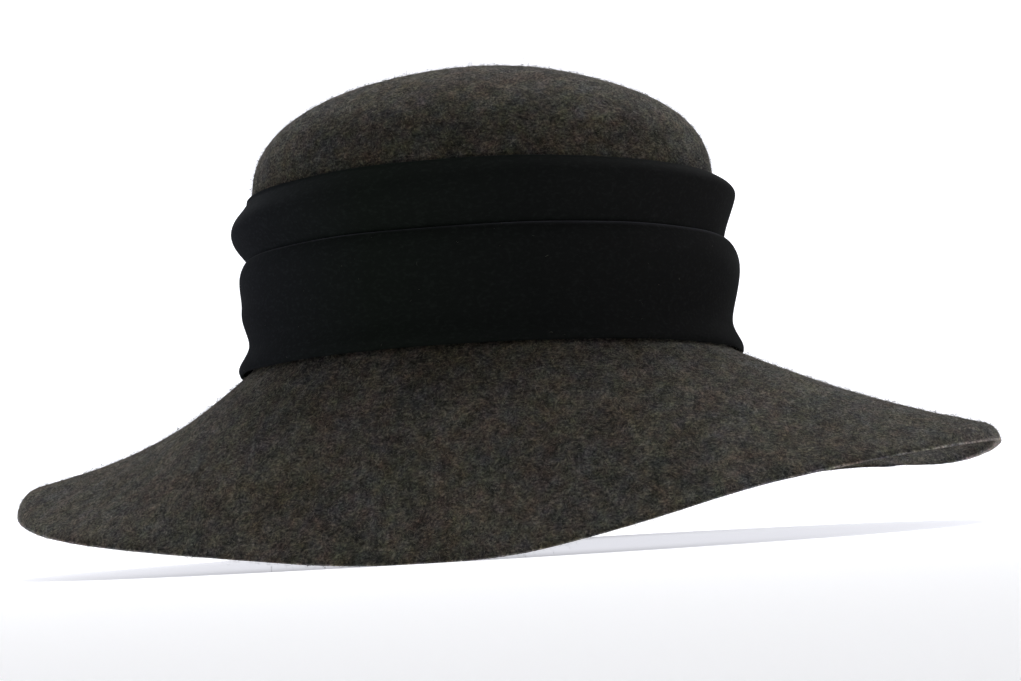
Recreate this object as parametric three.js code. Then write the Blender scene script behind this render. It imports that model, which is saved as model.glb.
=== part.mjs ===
// A floppy felt hat with a wide velvet band in two tiers, in millimetres, +Z up.
// The hat stands on its brim. The origin lies on the resting surface under the middle of the
// brim, the front faces -Y and azimuths are counted from the front towards +X.
import * as THREE from 'three';

// Driving dimensions of the felt body.
const FELT_WALL = 2.2;
const CROWN_WIDTH = 174.5;
const CROWN_LENGTH = 197;
const CROWN_RISE = 104.8;
const CROWN_SHIFT = 3.5;
const CROWN_FOOT_HEIGHT = 75.5;
const FRONT_RISE = 4.2;
const ROOT_BEND_RADIUS = 8;
const BRIM_WIDTH = 368;
const BRIM_LENGTH = 376;
const SIDE_LIFT = 30;
const EDGE_TURN_RADIUS = 7;

// Driving dimensions of the velvet band.
const VELVET_WALL = 1.2;
const BAND_CLEARANCE = 0.3;
const TIER_TUCK = 3;
const LOWER_TIER_HEIGHT = 41.6;
const LOWER_TIER_STAND = 7.4;
const UPPER_TIER_HEIGHT = 23;
const UPPER_TIER_STAND = 8.2;

// How finely the surfaces are divided.
const AZIMUTH_STEPS = 60;
const CROWN_STEPS = 11;
const ROOT_STEPS = 3;
const BRIM_STEPS = 6;
const TURN_STEPS = 3;
const UPPER_TIER_STEPS = 11;
const LOWER_TIER_STEPS = 12;

// The crown's outer profile from its foot to its apex.
// rise is a share of the crown's rise, reach a share of its half width or half length.
const CROWN_PROFILE = [
  { rise: 0.0, reach: 1.014 },
  { rise: 0.28, reach: 1.01 },
  { rise: 0.57, reach: 1.0 },
  { rise: 0.69, reach: 0.974 },
  { rise: 0.785, reach: 0.892 },
  { rise: 0.865, reach: 0.75 },
  { rise: 0.938, reach: 0.53 },
  { rise: 0.985, reach: 0.265 },
  { rise: 1.0, reach: 0.0 },
];

// The brim by azimuth in degrees. lift is the cut edge's height as a share of the side lift.
// root and edge are the slopes in degrees below level where the brim leaves the crown and
// where its edge starts to turn down, and turn is how far it turns. Front and back rest on
// the surface, the sides rise.
const BRIM_SECTIONS = [
  { azimuth: -84, lift: 0.95, root: 40, edge: 9, turn: 78 },
  { azimuth: -70, lift: 0.72, root: 39, edge: 11, turn: 72 },
  { azimuth: -55, lift: 0.52, root: 37, edge: 17, turn: 50 },
  { azimuth: -25, lift: 0.2, root: 36, edge: 34, turn: 32 },
  { azimuth: -15, lift: 0.085, root: 36, edge: 36, turn: 30 },
  { azimuth: -6, lift: 0.0, root: 37, edge: 38, turn: 30 },
  { azimuth: 6, lift: 0.0, root: 37, edge: 38, turn: 30 },
  { azimuth: 20, lift: 0.245, root: 35, edge: 36, turn: 30 },
  { azimuth: 35, lift: 0.61, root: 31, edge: 27, turn: 34 },
  { azimuth: 50, lift: 0.81, root: 28, edge: 19, turn: 38 },
  { azimuth: 70, lift: 0.94, root: 26, edge: 14, turn: 64 },
  { azimuth: 88, lift: 0.98, root: 25, edge: 12, turn: 80 },
  { azimuth: 103, lift: 0.85, root: 25, edge: 13, turn: 80 },
  { azimuth: 120, lift: 0.72, root: 27, edge: 20, turn: 46 },
  { azimuth: 136, lift: 0.77, root: 31, edge: 24, turn: 36 },
  { azimuth: 150, lift: 0.71, root: 33, edge: 28, turn: 32 },
  { azimuth: 160, lift: 0.54, root: 34, edge: 32, turn: 30 },
  { azimuth: 170, lift: 0.24, root: 36, edge: 36, turn: 30 },
  { azimuth: 180, lift: 0.0, root: 37, edge: 38, turn: 30 },
  { azimuth: 194, lift: 0.0, root: 37, edge: 38, turn: 30 },
  { azimuth: 215, lift: 0.4, root: 36, edge: 32, turn: 34 },
  { azimuth: 245, lift: 0.85, root: 40, edge: 12, turn: 73 },
];

// The outer face of each velvet tier from its top fold down. drop is a share of the tier's
// height, left and right are how far it stands off the felt as shares of the tier's stand.
// The upper tier runs on below its last row, tucked behind the lower tier's top fold.
const UPPER_TIER_FACE = [
  { drop: 0.0, left: 0.04, right: 0.08 },
  { drop: 0.07, left: 0.2, right: 0.56 },
  { drop: 0.18, left: 0.42, right: 0.88 },
  { drop: 0.3, left: 0.72, right: 0.87 },
  { drop: 0.48, left: 0.94, right: 0.66 },
  { drop: 0.68, left: 0.78, right: 0.42 },
  { drop: 0.86, left: 0.42, right: 0.25 },
  { drop: 1.0, left: 0.18, right: 0.18 },
];
const LOWER_TIER_FACE = [
  { drop: 0.0, left: 0.4, right: 0.4 },
  { drop: 0.045, left: 0.56, right: 0.64 },
  { drop: 0.13, left: 0.7, right: 0.84 },
  { drop: 0.24, left: 0.68, right: 0.89 },
  { drop: 0.36, left: 0.62, right: 0.78 },
  { drop: 0.5, left: 0.64, right: 0.58 },
  { drop: 0.69, left: 0.34, right: 0.32 },
  { drop: 0.8, left: 0.48, right: 0.42 },
  { drop: 0.9, left: 0.86, right: 0.7 },
  { drop: 0.96, left: 0.92, right: 0.78 },
  { drop: 1.0, left: 0.84, right: 0.72 },
];

const FULL_TURN = 360;
const radians = THREE.MathUtils.degToRad;

// A smooth closed curve of one column against azimuth. It never overshoots its rows, so rows
// of equal height stay level between them.
function aroundTheHat(rows, column) {
  const count = rows.length;
  const at = (i) => {
    const turns = Math.floor(i / count);
    const row = rows[i - turns * count];
    return { x: row.azimuth + turns * FULL_TURN, y: row[column] };
  };
  const rise = (i) => (at(i + 1).y - at(i).y) / (at(i + 1).x - at(i).x);
  const slope = (i) => {
    const before = rise(i - 1);
    const after = rise(i);
    return before * after <= 0 ? 0 : (2 * before * after) / (before + after);
  };
  return (azimuth) => {
    const first = rows[0].azimuth;
    const x = THREE.MathUtils.euclideanModulo(azimuth - first, FULL_TURN) + first;
    let i = 0;
    while (at(i + 1).x <= x) {
      i += 1;
    }
    const span = at(i + 1).x - at(i).x;
    const t = (x - at(i).x) / span;
    const start = at(i).y * (1 + 2 * t) * (1 - t) ** 2 + slope(i) * span * t * (1 - t) ** 2;
    const end = at(i + 1).y * t * t * (3 - 2 * t) + slope(i + 1) * span * t * t * (t - 1);
    return start + end;
  };
}

// A point of an oval in plan, at an azimuth in degrees.
function oval(azimuth, halfWidth, halfLength, middle) {
  const turn = radians(azimuth);
  return new THREE.Vector2(middle + halfWidth * Math.sin(turn), -halfLength * Math.cos(turn));
}

// The points of a section moved a wall to the right of its direction of travel.
function offsetSection(points, wall) {
  return points.map((point, i) => {
    const before = points[Math.max(i - 1, 0)];
    const after = points[Math.min(i + 1, points.length - 1)];
    const along = after.clone().sub(before).normalize();
    return new THREE.Vector2(point.x + along.y * wall, point.y - along.x * wall);
  });
}

// The crown leans back a little: how much higher its wall is at an azimuth than at the sides.
function frontRise(azimuth) {
  return FRONT_RISE * Math.cos(radians(azimuth));
}

// Crown: its profile as reach and rise shares, from foot to apex, rounded over the top.
function crownProfile() {
  const shares = CROWN_PROFILE.map((row) => new THREE.Vector2(row.reach, row.rise));
  const beyondApex = shares[shares.length - 2].clone();
  beyondApex.x *= -1;
  const curve = new THREE.SplineCurve([...shares, beyondApex]);
  const apexAt = (shares.length - 1) / shares.length;
  const points = [];
  for (let i = 0; i <= CROWN_STEPS; i += 1) {
    points.push(curve.getPoint((apexAt * i) / CROWN_STEPS));
  }
  return points;
}

const CROWN_CURVE = crownProfile();

// How far the crown's wall reaches at a height, as a share of its half width.
function crownReachAt(height) {
  const rise = Math.max((height - CROWN_FOOT_HEIGHT) / CROWN_RISE, 0);
  let i = 0;
  while (i < CROWN_CURVE.length - 2 && CROWN_CURVE[i + 1].y < rise) {
    i += 1;
  }
  const below = CROWN_CURVE[i];
  const above = CROWN_CURVE[i + 1];
  const t = THREE.MathUtils.clamp((rise - below.y) / (above.y - below.y), 0, 1);
  return THREE.MathUtils.lerp(below.x, above.x, t);
}

const brimLift = aroundTheHat(BRIM_SECTIONS, 'lift');
const brimRoot = aroundTheHat(BRIM_SECTIONS, 'root');
const brimEdge = aroundTheHat(BRIM_SECTIONS, 'edge');
const brimTurn = aroundTheHat(BRIM_SECTIONS, 'turn');

// The brim's upper face at one azimuth, as distance out from the crown's foot and height:
// a bend out of the wall, a smooth sweep, and an edge that turns down on an arc.
function brimSection(azimuth, run, footHeight) {
  const root = radians(brimRoot(azimuth));
  const edge = radians(brimEdge(azimuth));
  const turn = radians(brimTurn(azimuth));
  const lift = SIDE_LIFT * brimLift(azimuth);
  const points = [];
  const bendAngle = Math.PI / 2 - root;
  for (let i = 1; i <= ROOT_STEPS; i += 1) {
    const angle = (bendAngle * i) / ROOT_STEPS;
    const out = ROOT_BEND_RADIUS * (1 - Math.cos(angle));
    points.push(new THREE.Vector2(out, footHeight - ROOT_BEND_RADIUS * Math.sin(angle)));
  }
  const turned = (angle) => new THREE.Vector2(
    EDGE_TURN_RADIUS * (Math.sin(edge + angle) - Math.sin(edge)),
    EDGE_TURN_RADIUS * (Math.cos(edge + angle) - Math.cos(edge)),
  );
  const start = points[points.length - 1];
  const end = new THREE.Vector2(run, lift).sub(turned(turn));
  const pull = start.distanceTo(end) / 3;
  const sweep = new THREE.CubicBezierCurve(
    start,
    new THREE.Vector2(start.x + pull * Math.cos(root), start.y - pull * Math.sin(root)),
    new THREE.Vector2(end.x - pull * Math.cos(edge), end.y + pull * Math.sin(edge)),
    end,
  );
  for (let i = 1; i <= BRIM_STEPS; i += 1) {
    points.push(sweep.getPoint(i / BRIM_STEPS));
  }
  for (let i = 1; i <= TURN_STEPS; i += 1) {
    points.push(turned((turn * i) / TURN_STEPS).add(end));
  }
  return { points, cut: FELT_WALL / Math.sin(edge + turn) };
}

// Felt body: one ring of points at one azimuth, down the outside from the apex to the cut
// edge and back up the inside.
function feltSection(azimuth) {
  const halfWidth = CROWN_WIDTH / 2;
  const halfLength = CROWN_LENGTH / 2;
  const footReach = CROWN_PROFILE[0].reach;
  const foot = oval(azimuth, halfWidth * footReach, halfLength * footReach, -CROWN_SHIFT);
  const edge = oval(azimuth, BRIM_WIDTH / 2, BRIM_LENGTH / 2, 0);
  const run = foot.distanceTo(edge);
  const outward = edge.clone().sub(foot).normalize();
  const crownRun = foot.distanceTo(new THREE.Vector2(-CROWN_SHIFT, 0));
  const inward = new THREE.Vector2(-CROWN_SHIFT, 0).sub(foot).normalize();

  // Distances are counted out from the crown's foot, so the apex has the most negative one.
  const crown = CROWN_CURVE.map((share) => new THREE.Vector2(
    (share.x / footReach - 1) * crownRun,
    CROWN_FOOT_HEIGHT + CROWN_RISE * share.y + frontRise(azimuth) * share.x,
  ));
  const brim = brimSection(azimuth, run, CROWN_FOOT_HEIGHT + frontRise(azimuth) * footReach);
  const outer = [...crown.reverse(), ...brim.points];
  const inner = offsetSection(outer, FELT_WALL);
  const lip = outer[outer.length - 1];
  inner[0] = new THREE.Vector2(outer[0].x, outer[0].y - FELT_WALL);
  inner[inner.length - 1] = new THREE.Vector2(lip.x - brim.cut, lip.y);
  return [...outer, ...inner.reverse()].map((point) => {
    const direction = point.x < 0 ? inward : outward;
    const plan = foot.clone().addScaledVector(direction, Math.abs(point.x));
    return new THREE.Vector3(plan.x, plan.y, point.y);
  });
}

// Velvet tier: one closed ring of points at one azimuth, down its outer face and back up
// behind it, a velvet wall away and clear of what lies behind it.
function tierSection(azimuth, tier) {
  const side = (1 + Math.sin(radians(azimuth))) / 2;
  const rows = tier.face.map((row) => new THREE.Vector2(
    THREE.MathUtils.lerp(row.left, row.right, side) * tier.stand,
    tier.foot + tier.height * (1 - row.drop),
  ));
  if (tier.tuck > 0) {
    rows.push(new THREE.Vector2(VELVET_WALL + BAND_CLEARANCE, tier.foot - tier.tuck));
  }
  const clear = (point, wall) => new THREE.Vector2(
    Math.max(point.x, tier.behind(point.y) + BAND_CLEARANCE + wall),
    point.y,
  );
  const outer = new THREE.SplineCurve(rows).getPoints(tier.steps).map((point) => clear(point, VELVET_WALL));
  const inner = offsetSection(outer, VELVET_WALL).map((point) => clear(point, 0));
  return [...outer, ...inner.reverse()].map((point) => {
    const reach = crownReachAt(point.y);
    const halfWidth = (CROWN_WIDTH / 2) * reach + point.x;
    const halfLength = (CROWN_LENGTH / 2) * reach + point.x;
    const plan = oval(azimuth, halfWidth, halfLength, -CROWN_SHIFT);
    return new THREE.Vector3(plan.x, plan.y, point.y + frontRise(azimuth) * reach);
  });
}

// A closed surface through one section at each azimuth. A section either closes on itself,
// or starts and ends on the axis, where its end points are shared.
function loft(section, endsOnAxis) {
  const sections = [];
  for (let i = 0; i < AZIMUTH_STEPS; i += 1) {
    sections.push(section((FULL_TURN * i) / AZIMUTH_STEPS));
  }
  const rows = sections[0].length;
  const positions = sections.flat().flatMap((point) => point.toArray());
  const vertex = (i, j) => {
    const onAxis = endsOnAxis && (j === 0 || j === rows - 1);
    return (onAxis ? 0 : (i % AZIMUTH_STEPS) * rows) + (j % rows);
  };
  const triangles = [];
  const addTriangle = (...corners) => {
    if (new Set(corners).size === 3) {
      triangles.push(...corners);
    }
  };
  for (let i = 0; i < AZIMUTH_STEPS; i += 1) {
    for (let j = 0; j < (endsOnAxis ? rows - 1 : rows); j += 1) {
      addTriangle(vertex(i, j), vertex(i, j + 1), vertex(i + 1, j + 1));
      addTriangle(vertex(i, j), vertex(i + 1, j + 1), vertex(i + 1, j));
    }
  }
  const geometry = new THREE.BufferGeometry();
  geometry.setAttribute('position', new THREE.Float32BufferAttribute(positions, 3));
  geometry.setIndex(triangles);
  geometry.computeVertexNormals();
  return geometry;
}

function piece(name, geometry, material) {
  const mesh = new THREE.Mesh(geometry, material);
  mesh.name = name;
  return mesh;
}

const felt = new THREE.MeshStandardMaterial({ color: '#4b4843', roughness: 0.95, metalness: 0 });
const velvet = new THREE.MeshStandardMaterial({ color: '#0c0d0e', roughness: 0.9, metalness: 0 });

// The lower tier's hem sits on the bend at the brim's root. The upper tier's foot is tucked
// down between the crown and the lower tier's top fold.
const hemStand = LOWER_TIER_STAND * LOWER_TIER_FACE[LOWER_TIER_FACE.length - 1].left;
const hemInside = Math.min(Math.max(hemStand - VELVET_WALL, 0), ROOT_BEND_RADIUS);
const bendDrop = Math.sqrt(ROOT_BEND_RADIUS ** 2 - (ROOT_BEND_RADIUS - hemInside) ** 2);
const hemFoot = CROWN_FOOT_HEIGHT - bendDrop + VELVET_WALL / 2 + BAND_CLEARANCE;

const foldHeight = hemFoot + LOWER_TIER_HEIGHT;
const tuckFoot = foldHeight + BAND_CLEARANCE - TIER_TUCK;
const tuckedStand = BAND_CLEARANCE + VELVET_WALL;

// behind is how far what lies behind the tier stands off the felt at a height.
const lowerTier = {
  face: LOWER_TIER_FACE,
  foot: hemFoot,
  height: LOWER_TIER_HEIGHT,
  stand: LOWER_TIER_STAND,
  steps: LOWER_TIER_STEPS,
  tuck: 0,
  behind: (height) => (height > tuckFoot - VELVET_WALL ? tuckedStand : 0),
};
const upperTier = {
  face: UPPER_TIER_FACE,
  foot: foldHeight + BAND_CLEARANCE,
  height: UPPER_TIER_HEIGHT,
  stand: UPPER_TIER_STAND,
  steps: UPPER_TIER_STEPS,
  tuck: TIER_TUCK,
  behind: () => 0,
};

const hat = new THREE.Group();
hat.add(piece('felt_body', loft(feltSection, true), felt));
hat.add(piece('velvet_lower_tier', loft((a) => tierSection(a, lowerTier), false), velvet));
hat.add(piece('velvet_upper_tier', loft((a) => tierSection(a, upperTier), false), velvet));

export default hat;
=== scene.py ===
"""A charcoal wool felt floppy hat with a black velvet band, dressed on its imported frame.

Everything is in metres, +Z up, with the hat standing on its brim and facing -Y.
"""
import math

import bmesh
import bpy
import numpy as np
from mathutils import Matrix, Vector, noise
from mathutils.bvhtree import BVHTree


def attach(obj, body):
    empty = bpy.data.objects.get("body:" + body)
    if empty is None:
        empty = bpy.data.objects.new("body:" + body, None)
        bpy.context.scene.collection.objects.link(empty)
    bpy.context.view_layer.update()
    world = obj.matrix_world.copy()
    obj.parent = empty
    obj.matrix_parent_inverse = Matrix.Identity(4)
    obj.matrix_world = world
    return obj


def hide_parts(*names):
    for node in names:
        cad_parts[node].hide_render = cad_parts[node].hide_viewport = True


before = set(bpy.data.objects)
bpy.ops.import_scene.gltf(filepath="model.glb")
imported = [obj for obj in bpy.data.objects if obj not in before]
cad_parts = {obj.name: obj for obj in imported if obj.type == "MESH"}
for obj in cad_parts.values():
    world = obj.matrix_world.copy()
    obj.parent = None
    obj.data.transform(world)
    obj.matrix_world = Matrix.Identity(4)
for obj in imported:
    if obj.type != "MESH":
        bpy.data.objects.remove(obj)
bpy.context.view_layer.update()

MM = 0.001

# The view: where the camera stands, what it aims at, how it is held and how far it sees.
CAMERA_DISTANCE = 1.2
CAMERA_HEIGHT = 0.02
CAMERA_AZIMUTH = math.radians(9.0)
CAMERA_ROLL = math.radians(-3.5)
AIM_SIDE = 0.0034
AIM_HEIGHT = 0.0784
FOCAL_PIXELS = 3180
PICTURE_WIDTH_PIXELS = 1021
SENSOR_WIDTH_MM = 36
CAMERA_SIGHT = 20

# The frame's triangles are joined into quads, and these turns and skews are still joined.
JOINED_TURN = math.radians(60)
JOINED_SKEW = math.radians(80)
SAME_POINT = 0.01 * MM

# How the quads are rounded: the turn from which an edge is sharp, how far a crease keeps it
# (0 for round, 1 for sharp), and how often the corners are pushed out.
ROUNDING_LEVELS = 2
SHARP_EDGE = math.radians(45)
CUT_EDGE_CREASE = 0.55
FELT_PASSES = 0
HEM_CREASE = 0.4
VELVET_PASSES = 2

# The felt's handmade unevenness, and the height up to which it stays as flat as it rests.
FELT_SWELL = 0.5 * MM
FELT_SWELL_SIZE = 45 * MM
FELT_SWELL_SEED = 1.0
FELT_LUMP = 0.12 * MM
FELT_LUMP_SIZE = 6 * MM
FELT_LUMP_SEED = 2.0
RESTING_HEIGHT = 1 * MM

# Loose wool fibres. Real ones are 0.03 mm thick; these are as coarse as they need to show.
# Their lengths and rises spread by a factor, and their bends by a share of half the length.
# Each is a closed spindle: its start, a ring of three corners round its middle, and its end.
FIBRE_RADIUS = 0.045 * MM
FIBRE_RING = 3
FIBRE_CORNERS = FIBRE_RING + 2
FIBRE_FACES = ((1, 2, 4), (2, 3, 4), (3, 1, 4), (2, 1, 0), (3, 2, 0), (1, 3, 0))
FIBRE_LENGTH_SPREAD = 0.35
FIBRE_RISE_SPREAD = 0.6
FIBRE_BEND_SPREAD = 0.3
FIBRE_FLOOR_CLEARANCE = 0.03 * MM

# No fibre starts where another piece covers the skin from this near.
COVER_HEIGHT = 14 * MM

# The felt's fuzz and the lint on the band's lower fold, as (piece, count, seed, length, lift).
FUZZ = (
    ("lying_wool_fibres", 33000, 11, 2.2 * MM, 0.2 * MM),
    ("standing_wool_fibres", 33000, 12, 1.6 * MM, 0.55 * MM),
    ("raised_wool_fibres", 33000, 13, 1.3 * MM, 0.8 * MM),
)
LINT = ("velvet_lint", 160, 14, 0.9 * MM, 0.1 * MM)

# The felt was brushed lengthways, so its pattern is drawn out that way: its spacing is 1 over this.
FELT_LENGTHWAYS = 0.38

# The felt's tone: mottle as (size, detail, roughness, weight), fibres as (tuft, length, width, weight).
# Real fibres are 0.03 mm wide; these are as coarse as they need to show.
FELT_MOTTLE = (
    (3.6 * MM, 1.0, 0.5, 0.14),
    (8.0 * MM, 1.0, 0.5, 0.07),
    (24.0 * MM, 1.0, 0.5, 0.07),
)
FELT_FIBRES = (
    (3.6 * MM, 2.6 * MM, 0.85 * MM, 0.24),
    (2.9 * MM, 2.1 * MM, 0.7 * MM, 0.24),
    (2.2 * MM, 1.6 * MM, 0.55 * MM, 0.24),
)
FELT_SHADES = ((0.37, "#11110f"), (0.46, "#2a2927"), (0.54, "#43413c"), (0.65, "#69655c"))

# The melange's tints: where its wool is warmer or cooler, and where it is greener or pinker.
WARMTH = ((5.0 * MM, 3.0, 0.6, 0.6), (17 * MM, 2.0, 0.5, 0.4))
WARM_TINTS = ((0.36, "#eaf0ff"), (0.5, "#fbf6ef"), (0.64, "#ffe9d6"))
GREENNESS = ((4.0 * MM, 3.0, 0.6, 0.6), (14 * MM, 2.0, 0.5, 0.4))
GREEN_TINTS = ((0.36, "#fff2fb"), (0.5, "#fbfdfa"), (0.64, "#f1fde8"))
GREENNESS_PLACE = (0.31, 0.17, 0.23)

# The felt's cut edge carries painted light: paler and cooler than its skin, as if lit from below,
# by this factor in each channel, from where the attribute rim is low to where it is high.
CUT_EDGE_PAINTED_LIGHT = (4.0, 4.1, 4.7)
CUT_EDGE_LIGHT_LOW = 0.45
CUT_EDGE_LIGHT_HIGH = 0.85

# Pale tufts stand higher and catch more light: the sheen rises from the dark tone to the pale one.
TUFT_DARK = 0.43
TUFT_PALE = 0.58
TUFT_SHEEN = 0.13
TUFT_HEIGHT = 0.6 * MM
TUFT_RELIEF = 0.85

# The dyes of the loose wool.
LOOSE_SHADES = (
    (0.0, "#242321"),
    (0.35, "#45423c"),
    (0.6, "#5f5a50"),
    (0.8, "#6e6154"),
    (0.9, "#646656"),
    (1.0, "#8d877c"),
)

# Velvet: how unevenly its folds run, its near-black pile with painted sheen paler towards
# the hat's left and right sides, and a painted highlight where the pile faces up past the tilt.
VELVET_SWELL = 0.5 * MM
VELVET_SWELL_SIZE = 40 * MM
VELVET_PAINTED_SHEEN_SIDE = 95 * MM
VELVET_SHADES_AND_PAINTED_SHEEN = ((0.0, "#202125"), (0.35, "#171b18"), (0.65, "#161817"), (1.0, "#1b1b1b"))
VELVET_PAINTED_HIGHLIGHT = "#48484d"
VELVET_HIGHLIGHT_TILT = 0.6

# The velvet's nap: tufts to a metre each way, its height, and how much paler its tips are.
NAP_TUFTS = (600, 600, 950)
NAP_HEIGHT = 0.2 * MM
NAP_RELIEF = 0.4
NAP_TIP_FROM = 0.5
NAP_TIP_TO = 0.85
NAP_DARK = 0.95
NAP_PALE = 1.6

# The band's folds, as (node, piece, seed of its unevenness, how much painted highlight its
# up-facing pile gets, and the width and length of the strip that it was made from).
FOLDS = (
    ("velvet_lower_tier", "velvet_lower_fold", 3.0, 1.0, (44 * MM, 617 * MM)),
    ("velvet_upper_tier", "velvet_upper_fold", 5.0, 0.0, (31 * MM, 607 * MM)),
)

# The sweep: how far its floor and wall reach, and the bend between them.
SWEEP_REACH = 3.0
SWEEP_RISE = 2.6
SWEEP_BEND = 1.2
SWEEP_BEND_STEPS = 10
SWEEP_TURN_STEPS = 64

# The paper glows under the hat as a light table does, in an oval, and towards +Y.
TABLE_OVAL = (0.7, 1.3, 1)
TABLE_GLOW = 0.8
TABLE_GLOW_FROM = 0.1
TABLE_GLOW_TO = 0.42
BACK_GLOW_NEAR = 0.12
BACK_GLOW_FAR = 0.72
BACK_GLOW_FROM = 0.3
BACK_GLOW_TO = 2.6
GLOW_COLOUR = "#f6f7ff"

# The paper's own colour, and the grey that it takes on behind the camera.
PAPER_WHITE = "#f0f0f0"
PAPER_WHITE_FROM = -0.9
PAPER_GREY = "#7c7c7c"
PAPER_GREY_TO = -1.7

# The lights.
AIR_COLOUR = "#f9f9fb"
AIR_STRENGTH = 0.38
TOP_LIGHT_PLACE = (0.1, 0.55, 1.6)
TOP_LIGHT_AIM = (0, 0, 0.1)
TOP_LIGHT_SIZE = 1.1
TOP_LIGHT_WATTS = 25.5
TOP_LIGHT_COLOUR = "#ffffff"

# The Mix node's sockets, which share their names.
MIX_FACTOR = 0
MIX_BELOW = 6
MIX_ABOVE = 7
MIX_COLOUR = 2


def linear(hex_colour):
    """An sRGB hex colour as linear red, green, blue and alpha."""
    channels = [int(hex_colour[i:i + 2], 16) / 255 for i in (1, 3, 5)]
    return [c / 12.92 if c <= 0.04045 else ((c + 0.055) / 1.055) ** 2.4 for c in channels] + [1.0]


def add_node(tree, kind, settings=None, inputs=None):
    """A shader node with its settings, and for each input a value, a hex colour or a socket to link."""
    node = tree.nodes.new("ShaderNode" + kind)
    for key, value in (settings or {}).items():
        setattr(node, key, value)
    for key, value in (inputs or {}).items():
        if isinstance(value, bpy.types.NodeSocket):
            tree.links.new(value, node.inputs[key])
        else:
            node.inputs[key].default_value = linear(value) if isinstance(value, str) else value
    return node


def new_material(name):
    """An empty material, its node tree and its Object coordinates."""
    material = bpy.data.materials.new(name)
    material.use_nodes = True
    tree = material.node_tree
    tree.nodes.clear()
    place = add_node(tree, "TexCoord").outputs["Object"]
    return material, tree, place


def colour_by_stops(tree, source, shades):
    """Colours picked by a source from 0 to 1 at their stops, and blended from stop to stop."""
    picker = add_node(tree, "ValToRGB", inputs={"Fac": source})
    stops = picker.color_ramp.elements
    while len(stops) < len(shades):
        stops.new(1.0)
    for stop, (position, colour) in zip(stops, shades):
        stop.position = position
        stop.color = linear(colour)
    return picker.outputs["Color"]


def weighed_sum(tree, parts):
    """Sockets added together, each times its weight."""
    total = None
    for socket, weight in parts:
        weighed = add_node(tree, "Math", {"operation": "MULTIPLY"}, {0: socket, 1: weight}).outputs[0]
        if total is None:
            total = weighed
        else:
            total = add_node(tree, "Math", {"operation": "ADD"}, {0: total, 1: weighed}).outputs[0]
    return total


def mottled_tone(tree, place, layers):
    """How light the wool is from place to place: noise of several sizes, added by weight."""
    return weighed_sum(tree, [
        (add_node(tree, "TexNoise", inputs={
            "Vector": place, "Scale": 1 / size, "Detail": detail, "Roughness": roughness,
        }).outputs["Fac"], weight)
        for size, detail, roughness, weight in layers
    ])


def matted_fibres(tree, place, tuft, length, width):
    """Fibres felted together: within each small tuft they run one way, and each tuft has its own."""
    tufts = add_node(tree, "TexVoronoi", inputs={"Vector": place, "Scale": 1 / tuft, "Randomness": 1.0})
    turned = add_node(tree, "VectorRotate", {"rotation_type": "EULER_XYZ"}, {
        "Vector": place,
        "Rotation": add_node(tree, "VectorMath", {"operation": "SCALE"}, {
            0: tufts.outputs["Color"], "Scale": 2 * math.pi,
        }).outputs[0],
    }).outputs[0]
    drawn = add_node(tree, "Mapping", inputs={
        "Vector": turned, "Scale": (1 / width, 1 / width, 1 / length),
    }).outputs[0]
    return add_node(tree, "TexNoise", inputs={
        "Vector": drawn, "Scale": 1.0, "Detail": 1.0, "Roughness": 0.6,
    }).outputs["Fac"]


def melange(tree, place, tone):
    """Wool dyed by its tone, and tinted warmer, cooler, greener or pinker from place to place."""
    moved = add_node(tree, "Mapping", inputs={"Vector": place, "Location": GREENNESS_PLACE}).outputs[0]
    wool = colour_by_stops(tree, tone, FELT_SHADES)
    for tint in (
        colour_by_stops(tree, mottled_tone(tree, place, WARMTH), WARM_TINTS),
        colour_by_stops(tree, mottled_tone(tree, moved, GREENNESS), GREEN_TINTS),
    ):
        wool = add_node(tree, "Mix", {"data_type": "RGBA", "blend_type": "MULTIPLY"}, {
            MIX_FACTOR: 1.0, MIX_BELOW: wool, MIX_ABOVE: tint,
        }).outputs[MIX_COLOUR]
    return wool


def with_painted_light_on_cut_edge(tree, wool):
    """The wool's colour with painted light on the felt's cut edge, which the attribute rim marks."""
    cut = add_node(tree, "MapRange", inputs={
        "Value": add_node(tree, "Attribute", {"attribute_name": "rim"}).outputs["Fac"],
        "From Min": CUT_EDGE_LIGHT_LOW, "From Max": CUT_EDGE_LIGHT_HIGH,
    }).outputs[0]
    # Painted light: the cut edge is drawn paler and cooler, as if lit from below.
    pale = add_node(tree, "VectorMath", {"operation": "MULTIPLY"}, {0: wool, 1: CUT_EDGE_PAINTED_LIGHT}).outputs[0]
    return add_node(tree, "Mix", {"data_type": "RGBA"}, {
        MIX_FACTOR: cut, MIX_BELOW: wool, MIX_ABOVE: pale,
    }).outputs[MIX_COLOUR]


def wool_felt():
    """Wool felt in a charcoal melange: matted fibres, so matt, mottled and softly haloed."""
    material, tree, place = new_material("wool_felt_charcoal")
    place = add_node(tree, "Mapping", inputs={
        "Vector": place, "Scale": (1, FELT_LENGTHWAYS, 1),
    }).outputs[0]
    surface = weighed_sum(tree, [
        (matted_fibres(tree, place, tuft, length, width), weight)
        for tuft, length, width, weight in FELT_FIBRES
    ])
    mottle = mottled_tone(tree, place, FELT_MOTTLE)
    tone = add_node(tree, "Math", {"operation": "ADD"}, {0: mottle, 1: surface}).outputs[0]
    catch = add_node(tree, "MapRange", inputs={
        "Value": tone, "From Min": TUFT_DARK, "From Max": TUFT_PALE, "To Min": 0.0, "To Max": TUFT_SHEEN,
    }).outputs[0]
    bump = add_node(tree, "Bump", inputs={
        "Strength": TUFT_RELIEF, "Distance": TUFT_HEIGHT, "Height": surface,
    })
    shader = add_node(tree, "BsdfPrincipled", inputs={
        "Base Color": with_painted_light_on_cut_edge(tree, melange(tree, place, tone)),
        "Normal": bump.outputs[0],
        "Roughness": 0.95,
        "Specular IOR Level": 0.1,
        "Sheen Weight": catch,
        "Sheen Roughness": 0.4,
        "Sheen Tint": "#d8d4c8",
    })
    add_node(tree, "OutputMaterial", inputs={"Surface": shader.outputs[0]})
    return material


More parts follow.
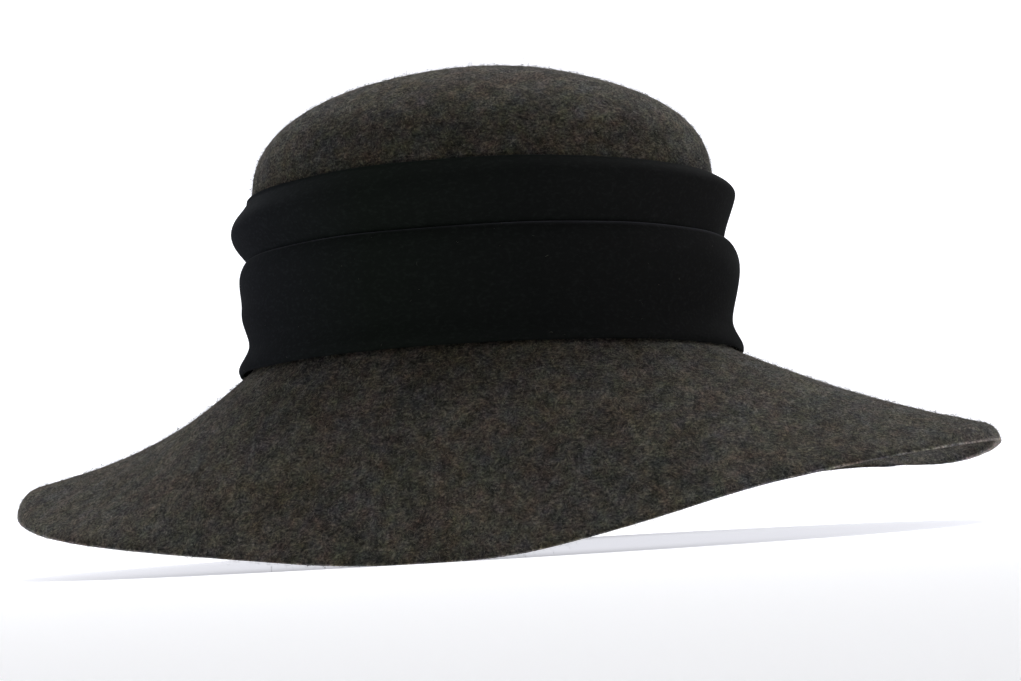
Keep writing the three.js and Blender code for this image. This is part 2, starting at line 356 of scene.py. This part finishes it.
def loose_wool():
    """Single wool fibres of the melange, each dyed in its own shade."""
    material, tree, _ = new_material("loose_wool_fibres")
    shade = add_node(tree, "Attribute", {"attribute_name": "shade"}).outputs["Fac"]
    wool = colour_by_stops(tree, shade, LOOSE_SHADES)
    shader = add_node(tree, "BsdfPrincipled", inputs={
        "Base Color": wool,
        "Roughness": 0.8,
        "Specular IOR Level": 0.2,
    })
    add_node(tree, "OutputMaterial", inputs={"Surface": shader.outputs[0]})
    return material


def cotton_velvet():
    """Black cotton velvet: a dense pile that drinks light and pales where it turns away.

    Its colour carries painted sheen towards the hat's sides and a painted highlight where it faces up.
    """
    material, tree, place = new_material("cotton_velvet_black")
    # Painted sheen: the pile's colour is paler towards the hat's left and right sides.
    side = add_node(tree, "MapRange", inputs={
        "Value": add_node(tree, "SeparateXYZ", inputs={0: place}).outputs["X"],
        "From Min": -VELVET_PAINTED_SHEEN_SIDE, "From Max": VELVET_PAINTED_SHEEN_SIDE,
    }).outputs[0]
    pile = colour_by_stops(tree, side, VELVET_SHADES_AND_PAINTED_SHEEN)
    nap_place = add_node(tree, "Mapping", inputs={"Vector": place, "Scale": NAP_TUFTS}).outputs[0]
    nap = add_node(tree, "TexNoise", inputs={
        "Vector": nap_place, "Scale": 1.0, "Detail": 2.0,
    }).outputs["Fac"]
    specks = add_node(tree, "MapRange", inputs={
        "Value": nap, "From Min": NAP_TIP_FROM, "From Max": NAP_TIP_TO,
        "To Min": NAP_DARK, "To Max": NAP_PALE,
    }).outputs[0]
    pile = add_node(tree, "VectorMath", {"operation": "SCALE"}, {0: pile, "Scale": specks}).outputs[0]
    # Painted highlight where the pile faces up, read from the fold's attribute.
    painted_highlight = add_node(tree, "Attribute", {"attribute_name": "painted_highlight"}).outputs["Fac"]
    pile = add_node(tree, "Mix", {"data_type": "RGBA"}, {
        MIX_FACTOR: painted_highlight, MIX_BELOW: pile, MIX_ABOVE: VELVET_PAINTED_HIGHLIGHT,
    }).outputs[MIX_COLOUR]
    bump = add_node(tree, "Bump", inputs={
        "Strength": NAP_RELIEF, "Distance": NAP_HEIGHT, "Height": nap,
    })
    shader = add_node(tree, "BsdfPrincipled", inputs={
        "Base Color": pile,
        "Normal": bump.outputs[0],
        "Roughness": 1.0,
        "Specular IOR Level": 0.0,
        "Sheen Weight": 0.07,
        "Sheen Roughness": 0.3,
        "Sheen Tint": "#b4b8b8",
    })
    add_node(tree, "OutputMaterial", inputs={"Surface": shader.outputs[0]})
    return material


def studio_paper():
    """Matt paper that glows under the hat and towards +Y, and is grey behind the camera."""
    material, tree, place = new_material("studio_paper")
    depth = add_node(tree, "SeparateXYZ", inputs={0: place}).outputs["Y"]
    oval = add_node(tree, "Mapping", inputs={"Vector": place, "Scale": TABLE_OVAL}).outputs[0]
    reach = add_node(tree, "VectorMath", {"operation": "LENGTH"}, {0: oval}).outputs["Value"]
    behind = add_node(tree, "MapRange", {"interpolation_type": "SMOOTHSTEP"}, {
        "Value": depth, "From Min": BACK_GLOW_FROM, "From Max": BACK_GLOW_TO,
        "To Min": BACK_GLOW_NEAR, "To Max": BACK_GLOW_FAR,
    }).outputs[0]
    below = add_node(tree, "MapRange", {"interpolation_type": "SMOOTHSTEP"}, {
        "Value": reach, "From Min": TABLE_GLOW_FROM, "From Max": TABLE_GLOW_TO,
        "To Min": TABLE_GLOW, "To Max": 0.0,
    }).outputs[0]
    glow = add_node(tree, "Math", {"operation": "MAXIMUM"}, {0: behind, 1: below}).outputs[0]
    ahead = add_node(tree, "MapRange", inputs={
        "Value": depth, "From Min": PAPER_GREY_TO, "From Max": PAPER_WHITE_FROM,
    }).outputs[0]
    paper = add_node(tree, "Mix", {"data_type": "RGBA"}, {
        MIX_FACTOR: ahead, MIX_BELOW: PAPER_GREY, MIX_ABOVE: PAPER_WHITE,
    }).outputs[MIX_COLOUR]
    shader = add_node(tree, "BsdfPrincipled", inputs={
        "Base Color": paper,
        "Roughness": 0.9,
        "Emission Color": GLOW_COLOUR,
        "Emission Strength": glow,
    })
    add_node(tree, "OutputMaterial", inputs={"Surface": shader.outputs[0]})
    return material


def finished_object(name, mesh, material):
    """A linked, smooth-shaded object with its material."""
    piece = bpy.data.objects.new(name, mesh)
    bpy.context.scene.collection.objects.link(piece)
    mesh.materials.clear()
    mesh.materials.append(material)
    mesh.polygons.foreach_set("use_smooth", [True] * len(mesh.polygons))
    return piece


def evaluated_mesh(piece):
    """A new mesh of a piece with its modifiers applied."""
    piece.data.update()
    bpy.context.view_layer.update()
    return bpy.data.meshes.new_from_object(piece.evaluated_get(bpy.context.evaluated_depsgraph_get()))


def rounded_copy(node, name, crease, passes):
    """A node's shape in quads, rounded by subdivision, its sharp edges kept by a crease.

    Each pass pushes its corners out, so that the rounded shape runs closer to where they were.
    The attribute rim is 1 on the sharp edges and between two that are close.
    """
    shape = bmesh.new()
    shape.from_mesh(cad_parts[node].data)
    bmesh.ops.remove_doubles(shape, verts=shape.verts, dist=SAME_POINT)
    bmesh.ops.join_triangles(
        shape, faces=shape.faces, angle_face_threshold=JOINED_TURN,
        angle_shape_threshold=JOINED_SKEW, cmp_seam=False, cmp_sharp=False,
    )
    creases = shape.edges.layers.float.new("crease_edge")
    rim = shape.verts.layers.float.new("rim")
    for edge in shape.edges:
        if len(edge.link_faces) == 2 and edge.calc_face_angle() > SHARP_EDGE:
            edge[creases] = crease
            for corner in edge.verts:
                corner[rim] = 1.0
    mesh = bpy.data.meshes.new(name)
    shape.to_mesh(mesh)
    shape.free()
    rough = bpy.data.objects.new(name + "_rough", mesh)
    bpy.context.scene.collection.objects.link(rough)
    rounding = rough.modifiers.new("rounding", "SUBSURF")
    rounding.levels = ROUNDING_LEVELS
    rounding.render_levels = ROUNDING_LEVELS
    corners = [vertex.co.copy() for vertex in mesh.vertices]
    smooth = evaluated_mesh(rough)
    for _ in range(passes):
        for vertex, corner, rounded in zip(mesh.vertices, corners, smooth.vertices):
            vertex.co += corner - rounded.co
        bpy.data.meshes.remove(smooth)
        smooth = evaluated_mesh(rough)
    bpy.data.objects.remove(rough)
    return smooth


def swell(mesh, height, size, seed):
    """Moves each vertex along its normal by a smooth noise, up to a height."""
    shift = Vector((seed, 2 * seed, 3 * seed))
    normals = [vertex.normal.copy() for vertex in mesh.vertices]
    for vertex, normal in zip(mesh.vertices, normals):
        vertex.co += normal * height * noise.noise(vertex.co / size + shift)


def felt_body():
    """The crown and brim, uneven as handmade felt is, but as flat where it rests as the frame's."""
    mesh = rounded_copy("felt_body", "felt_hat_body", CUT_EDGE_CREASE, FELT_PASSES)
    heights = [vertex.co.z for vertex in mesh.vertices]
    swell(mesh, FELT_SWELL, FELT_SWELL_SIZE, FELT_SWELL_SEED)
    swell(mesh, FELT_LUMP, FELT_LUMP_SIZE, FELT_LUMP_SEED)
    for vertex, height in zip(mesh.vertices, heights):
        if height < RESTING_HEIGHT:
            vertex.co.z = height
        vertex.co.z = max(vertex.co.z, 0.0)
    piece = finished_object("felt_hat_body", mesh, wool_felt())
    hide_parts("felt_body")
    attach(piece, "root")
    return piece


def velvet_fold(material, node, name, seed, highlight_share, flat):
    """One fold of the band. Its attribute grows as its pile faces up: a painted highlight where the
    fold's top is level and the light from above falls on it.
    """
    mesh = rounded_copy(node, name, HEM_CREASE, VELVET_PASSES)
    swell(mesh, VELVET_SWELL, VELVET_SWELL_SIZE, seed)
    # Painted highlight: up-facing pile is marked to be drawn paler, as the top light falls on it.
    painted_highlight = [
        highlight_share * max(vertex.normal.z - VELVET_HIGHLIGHT_TILT, 0.0) / (1 - VELVET_HIGHLIGHT_TILT)
        for vertex in mesh.vertices
    ]
    mesh.attributes.new("painted_highlight", "FLOAT", "POINT").data.foreach_set("value", painted_highlight)
    piece = finished_object(name, mesh, material)
    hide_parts(node)
    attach(piece, "root")
    return piece


def scattered_points(mesh, count, rng):
    """Random points spread evenly over a mesh's area, each with its face's normal."""
    mesh.calc_loop_triangles()
    corners = np.empty(3 * len(mesh.loop_triangles), np.int64)
    mesh.loop_triangles.foreach_get("vertices", corners)
    places = np.empty(3 * len(mesh.vertices))
    mesh.vertices.foreach_get("co", places)
    first, second, third = places.reshape(-1, 3)[corners.reshape(-1, 3)].transpose(1, 0, 2)
    across = np.cross(second - first, third - first)
    area = np.linalg.norm(across, axis=1)
    chosen = rng.choice(len(area), count, p=area / area.sum())
    share = np.sqrt(rng.random((count, 1)))
    turn = rng.random((count, 1))
    near_second = share * (1 - turn) * second[chosen]
    near_third = share * turn * third[chosen]
    points = (1 - share) * first[chosen] + near_second + near_third
    return points, across[chosen] / area[chosen][:, None]


def uncovered(points, normals, covers):
    """Which points have no covering piece close over them."""
    trees = [
        BVHTree.FromPolygons(
            [vertex.co for vertex in piece.data.vertices],
            [face.vertices for face in piece.data.polygons],
        )
        for piece in covers
    ]
    return np.array([
        all(tree.ray_cast(Vector(point), Vector(normal), COVER_HEIGHT)[0] is None for tree in trees)
        for point, normal in zip(points, normals)
    ])


def loose_fibres(material, skin, covers, name, count, seed, length, lift):
    """Wool fibres lying on a skin: each a slim spindle, bent at its middle, of its own shade."""
    rng = np.random.default_rng(seed)
    points, normals = scattered_points(skin.data, count, rng)
    free = uncovered(points, normals, covers)
    points, normals = points[free], normals[free]
    count = len(points)
    along = rng.normal(size=(count, 3))
    along -= normals * (along * normals).sum(1, keepdims=True)
    along /= np.linalg.norm(along, axis=1, keepdims=True)
    side = np.cross(normals, along)
    half = length / 2 * rng.lognormal(0.0, FIBRE_LENGTH_SPREAD, (count, 1))
    rise = lift * rng.lognormal(0.0, FIBRE_RISE_SPREAD, (count, 2, 1))
    start = points - along * half - normals * FIBRE_RADIUS
    end = points + along * half + normals * rise[:, 0]
    bend = side * half * rng.normal(0.0, FIBRE_BEND_SPREAD, (count, 1)) + normals * rise[:, 1]
    middle = points + bend
    ring = [
        middle + FIBRE_RADIUS * (side * math.cos(angle) + normals * math.sin(angle))
        for angle in (2 * math.pi * corner / FIBRE_RING for corner in range(FIBRE_RING))
    ]
    corners = np.stack([start, *ring, end], axis=1)
    corners[..., 2] = np.maximum(corners[..., 2], FIBRE_FLOOR_CLEARANCE)
    firsts = FIBRE_CORNERS * np.arange(count)[:, None, None]
    faces = (np.array(FIBRE_FACES)[None] + firsts).reshape(-1, 3)
    mesh = bpy.data.meshes.new(name)
    mesh.from_pydata(corners.reshape(-1, 3).tolist(), [], faces.tolist())
    shades = np.repeat(rng.random(count), FIBRE_CORNERS)
    mesh.attributes.new("shade", "FLOAT", "POINT").data.foreach_set("value", shades)
    piece = finished_object(name, mesh, material)
    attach(piece, "root")
    return piece


def place_camera():
    """The camera stands low in front of the hat, a little to its right, and is held askew."""
    data = bpy.data.cameras.new("camera")
    data.sensor_width = SENSOR_WIDTH_MM
    data.lens = FOCAL_PIXELS * SENSOR_WIDTH_MM / PICTURE_WIDTH_PIXELS
    data.clip_end = CAMERA_SIGHT
    camera = bpy.data.objects.new("camera", data)
    bpy.context.scene.collection.objects.link(camera)
    sideways = Vector((math.cos(CAMERA_AZIMUTH), math.sin(CAMERA_AZIMUTH), 0))
    stand = Vector((math.sin(CAMERA_AZIMUTH), -math.cos(CAMERA_AZIMUTH), 0)) * CAMERA_DISTANCE
    stand.z = CAMERA_HEIGHT
    aim = sideways * AIM_SIDE + Vector((0, 0, AIM_HEIGHT))
    forward = (aim - stand).normalized()
    right = forward.cross(Vector((0, 0, 1))).normalized()
    up = right.cross(forward)
    held_right = right * math.cos(CAMERA_ROLL) + up * math.sin(CAMERA_ROLL)
    held_up = up * math.cos(CAMERA_ROLL) - right * math.sin(CAMERA_ROLL)
    turn = Matrix((held_right, held_up, -forward)).transposed()
    camera.matrix_world = Matrix.Translation(stand) @ turn.to_4x4()
    bpy.context.scene.camera = camera


def studio_sweep():
    """A pale floor that curves up into the backdrop all round."""
    shape = bmesh.new()
    floor_end = SWEEP_REACH - SWEEP_BEND
    points = [Vector((0, 0, 0)), Vector((floor_end, 0, 0))]
    for step in range(1, SWEEP_BEND_STEPS + 1):
        angle = math.pi / 2 * step / SWEEP_BEND_STEPS
        rise = SWEEP_BEND * (1 - math.cos(angle))
        points.append(Vector((floor_end + SWEEP_BEND * math.sin(angle), 0, rise)))
    points.append(Vector((SWEEP_REACH, 0, SWEEP_RISE)))
    profile = [shape.verts.new(point) for point in points]
    edges = [shape.edges.new(pair) for pair in zip(profile, profile[1:])]
    bmesh.ops.spin(
        shape, geom=profile + edges, cent=(0, 0, 0), axis=(0, 0, 1), angle=2 * math.pi,
        steps=SWEEP_TURN_STEPS, use_merge=True,
    )
    bmesh.ops.remove_doubles(shape, verts=shape.verts, dist=SAME_POINT)
    bmesh.ops.recalc_face_normals(shape, faces=shape.faces)
    mesh = bpy.data.meshes.new("studio_sweep")
    shape.to_mesh(mesh)
    shape.free()
    finished_object("studio_sweep", mesh, studio_paper())


def soft_light(name, place, aim, size, watts, colour):
    """A square soft box at a place, turned towards a point."""
    data = bpy.data.lights.new(name, "AREA")
    data.shape = "SQUARE"
    data.size = size
    data.energy = watts
    data.color = linear(colour)[:3]
    light = bpy.data.objects.new(name, data)
    bpy.context.scene.collection.objects.link(light)
    light.location = place
    light.rotation_euler = (Vector(aim) - Vector(place)).to_track_quat("-Z", "Y").to_euler()


def studio_lights():
    """Even air, and one large soft box above and behind the hat."""
    world = bpy.data.worlds.new("studio_air")
    bpy.context.scene.world = world
    world.use_nodes = True
    background = world.node_tree.nodes["Background"]
    background.inputs["Color"].default_value = linear(AIR_COLOUR)
    background.inputs["Strength"].default_value = AIR_STRENGTH
    soft_light(
        "top_light", TOP_LIGHT_PLACE, TOP_LIGHT_AIM, TOP_LIGHT_SIZE, TOP_LIGHT_WATTS, TOP_LIGHT_COLOUR,
    )


bpy.context.scene.view_settings.view_transform = "Standard"
place_camera()
felt = felt_body()
velvet = cotton_velvet()
band = [velvet_fold(velvet, *fold) for fold in FOLDS]
wool = loose_wool()
for fuzz in FUZZ:
    loose_fibres(wool, felt, band, *fuzz)
loose_fibres(wool, band[0], [felt], *LINT)
studio_sweep()
studio_lights()
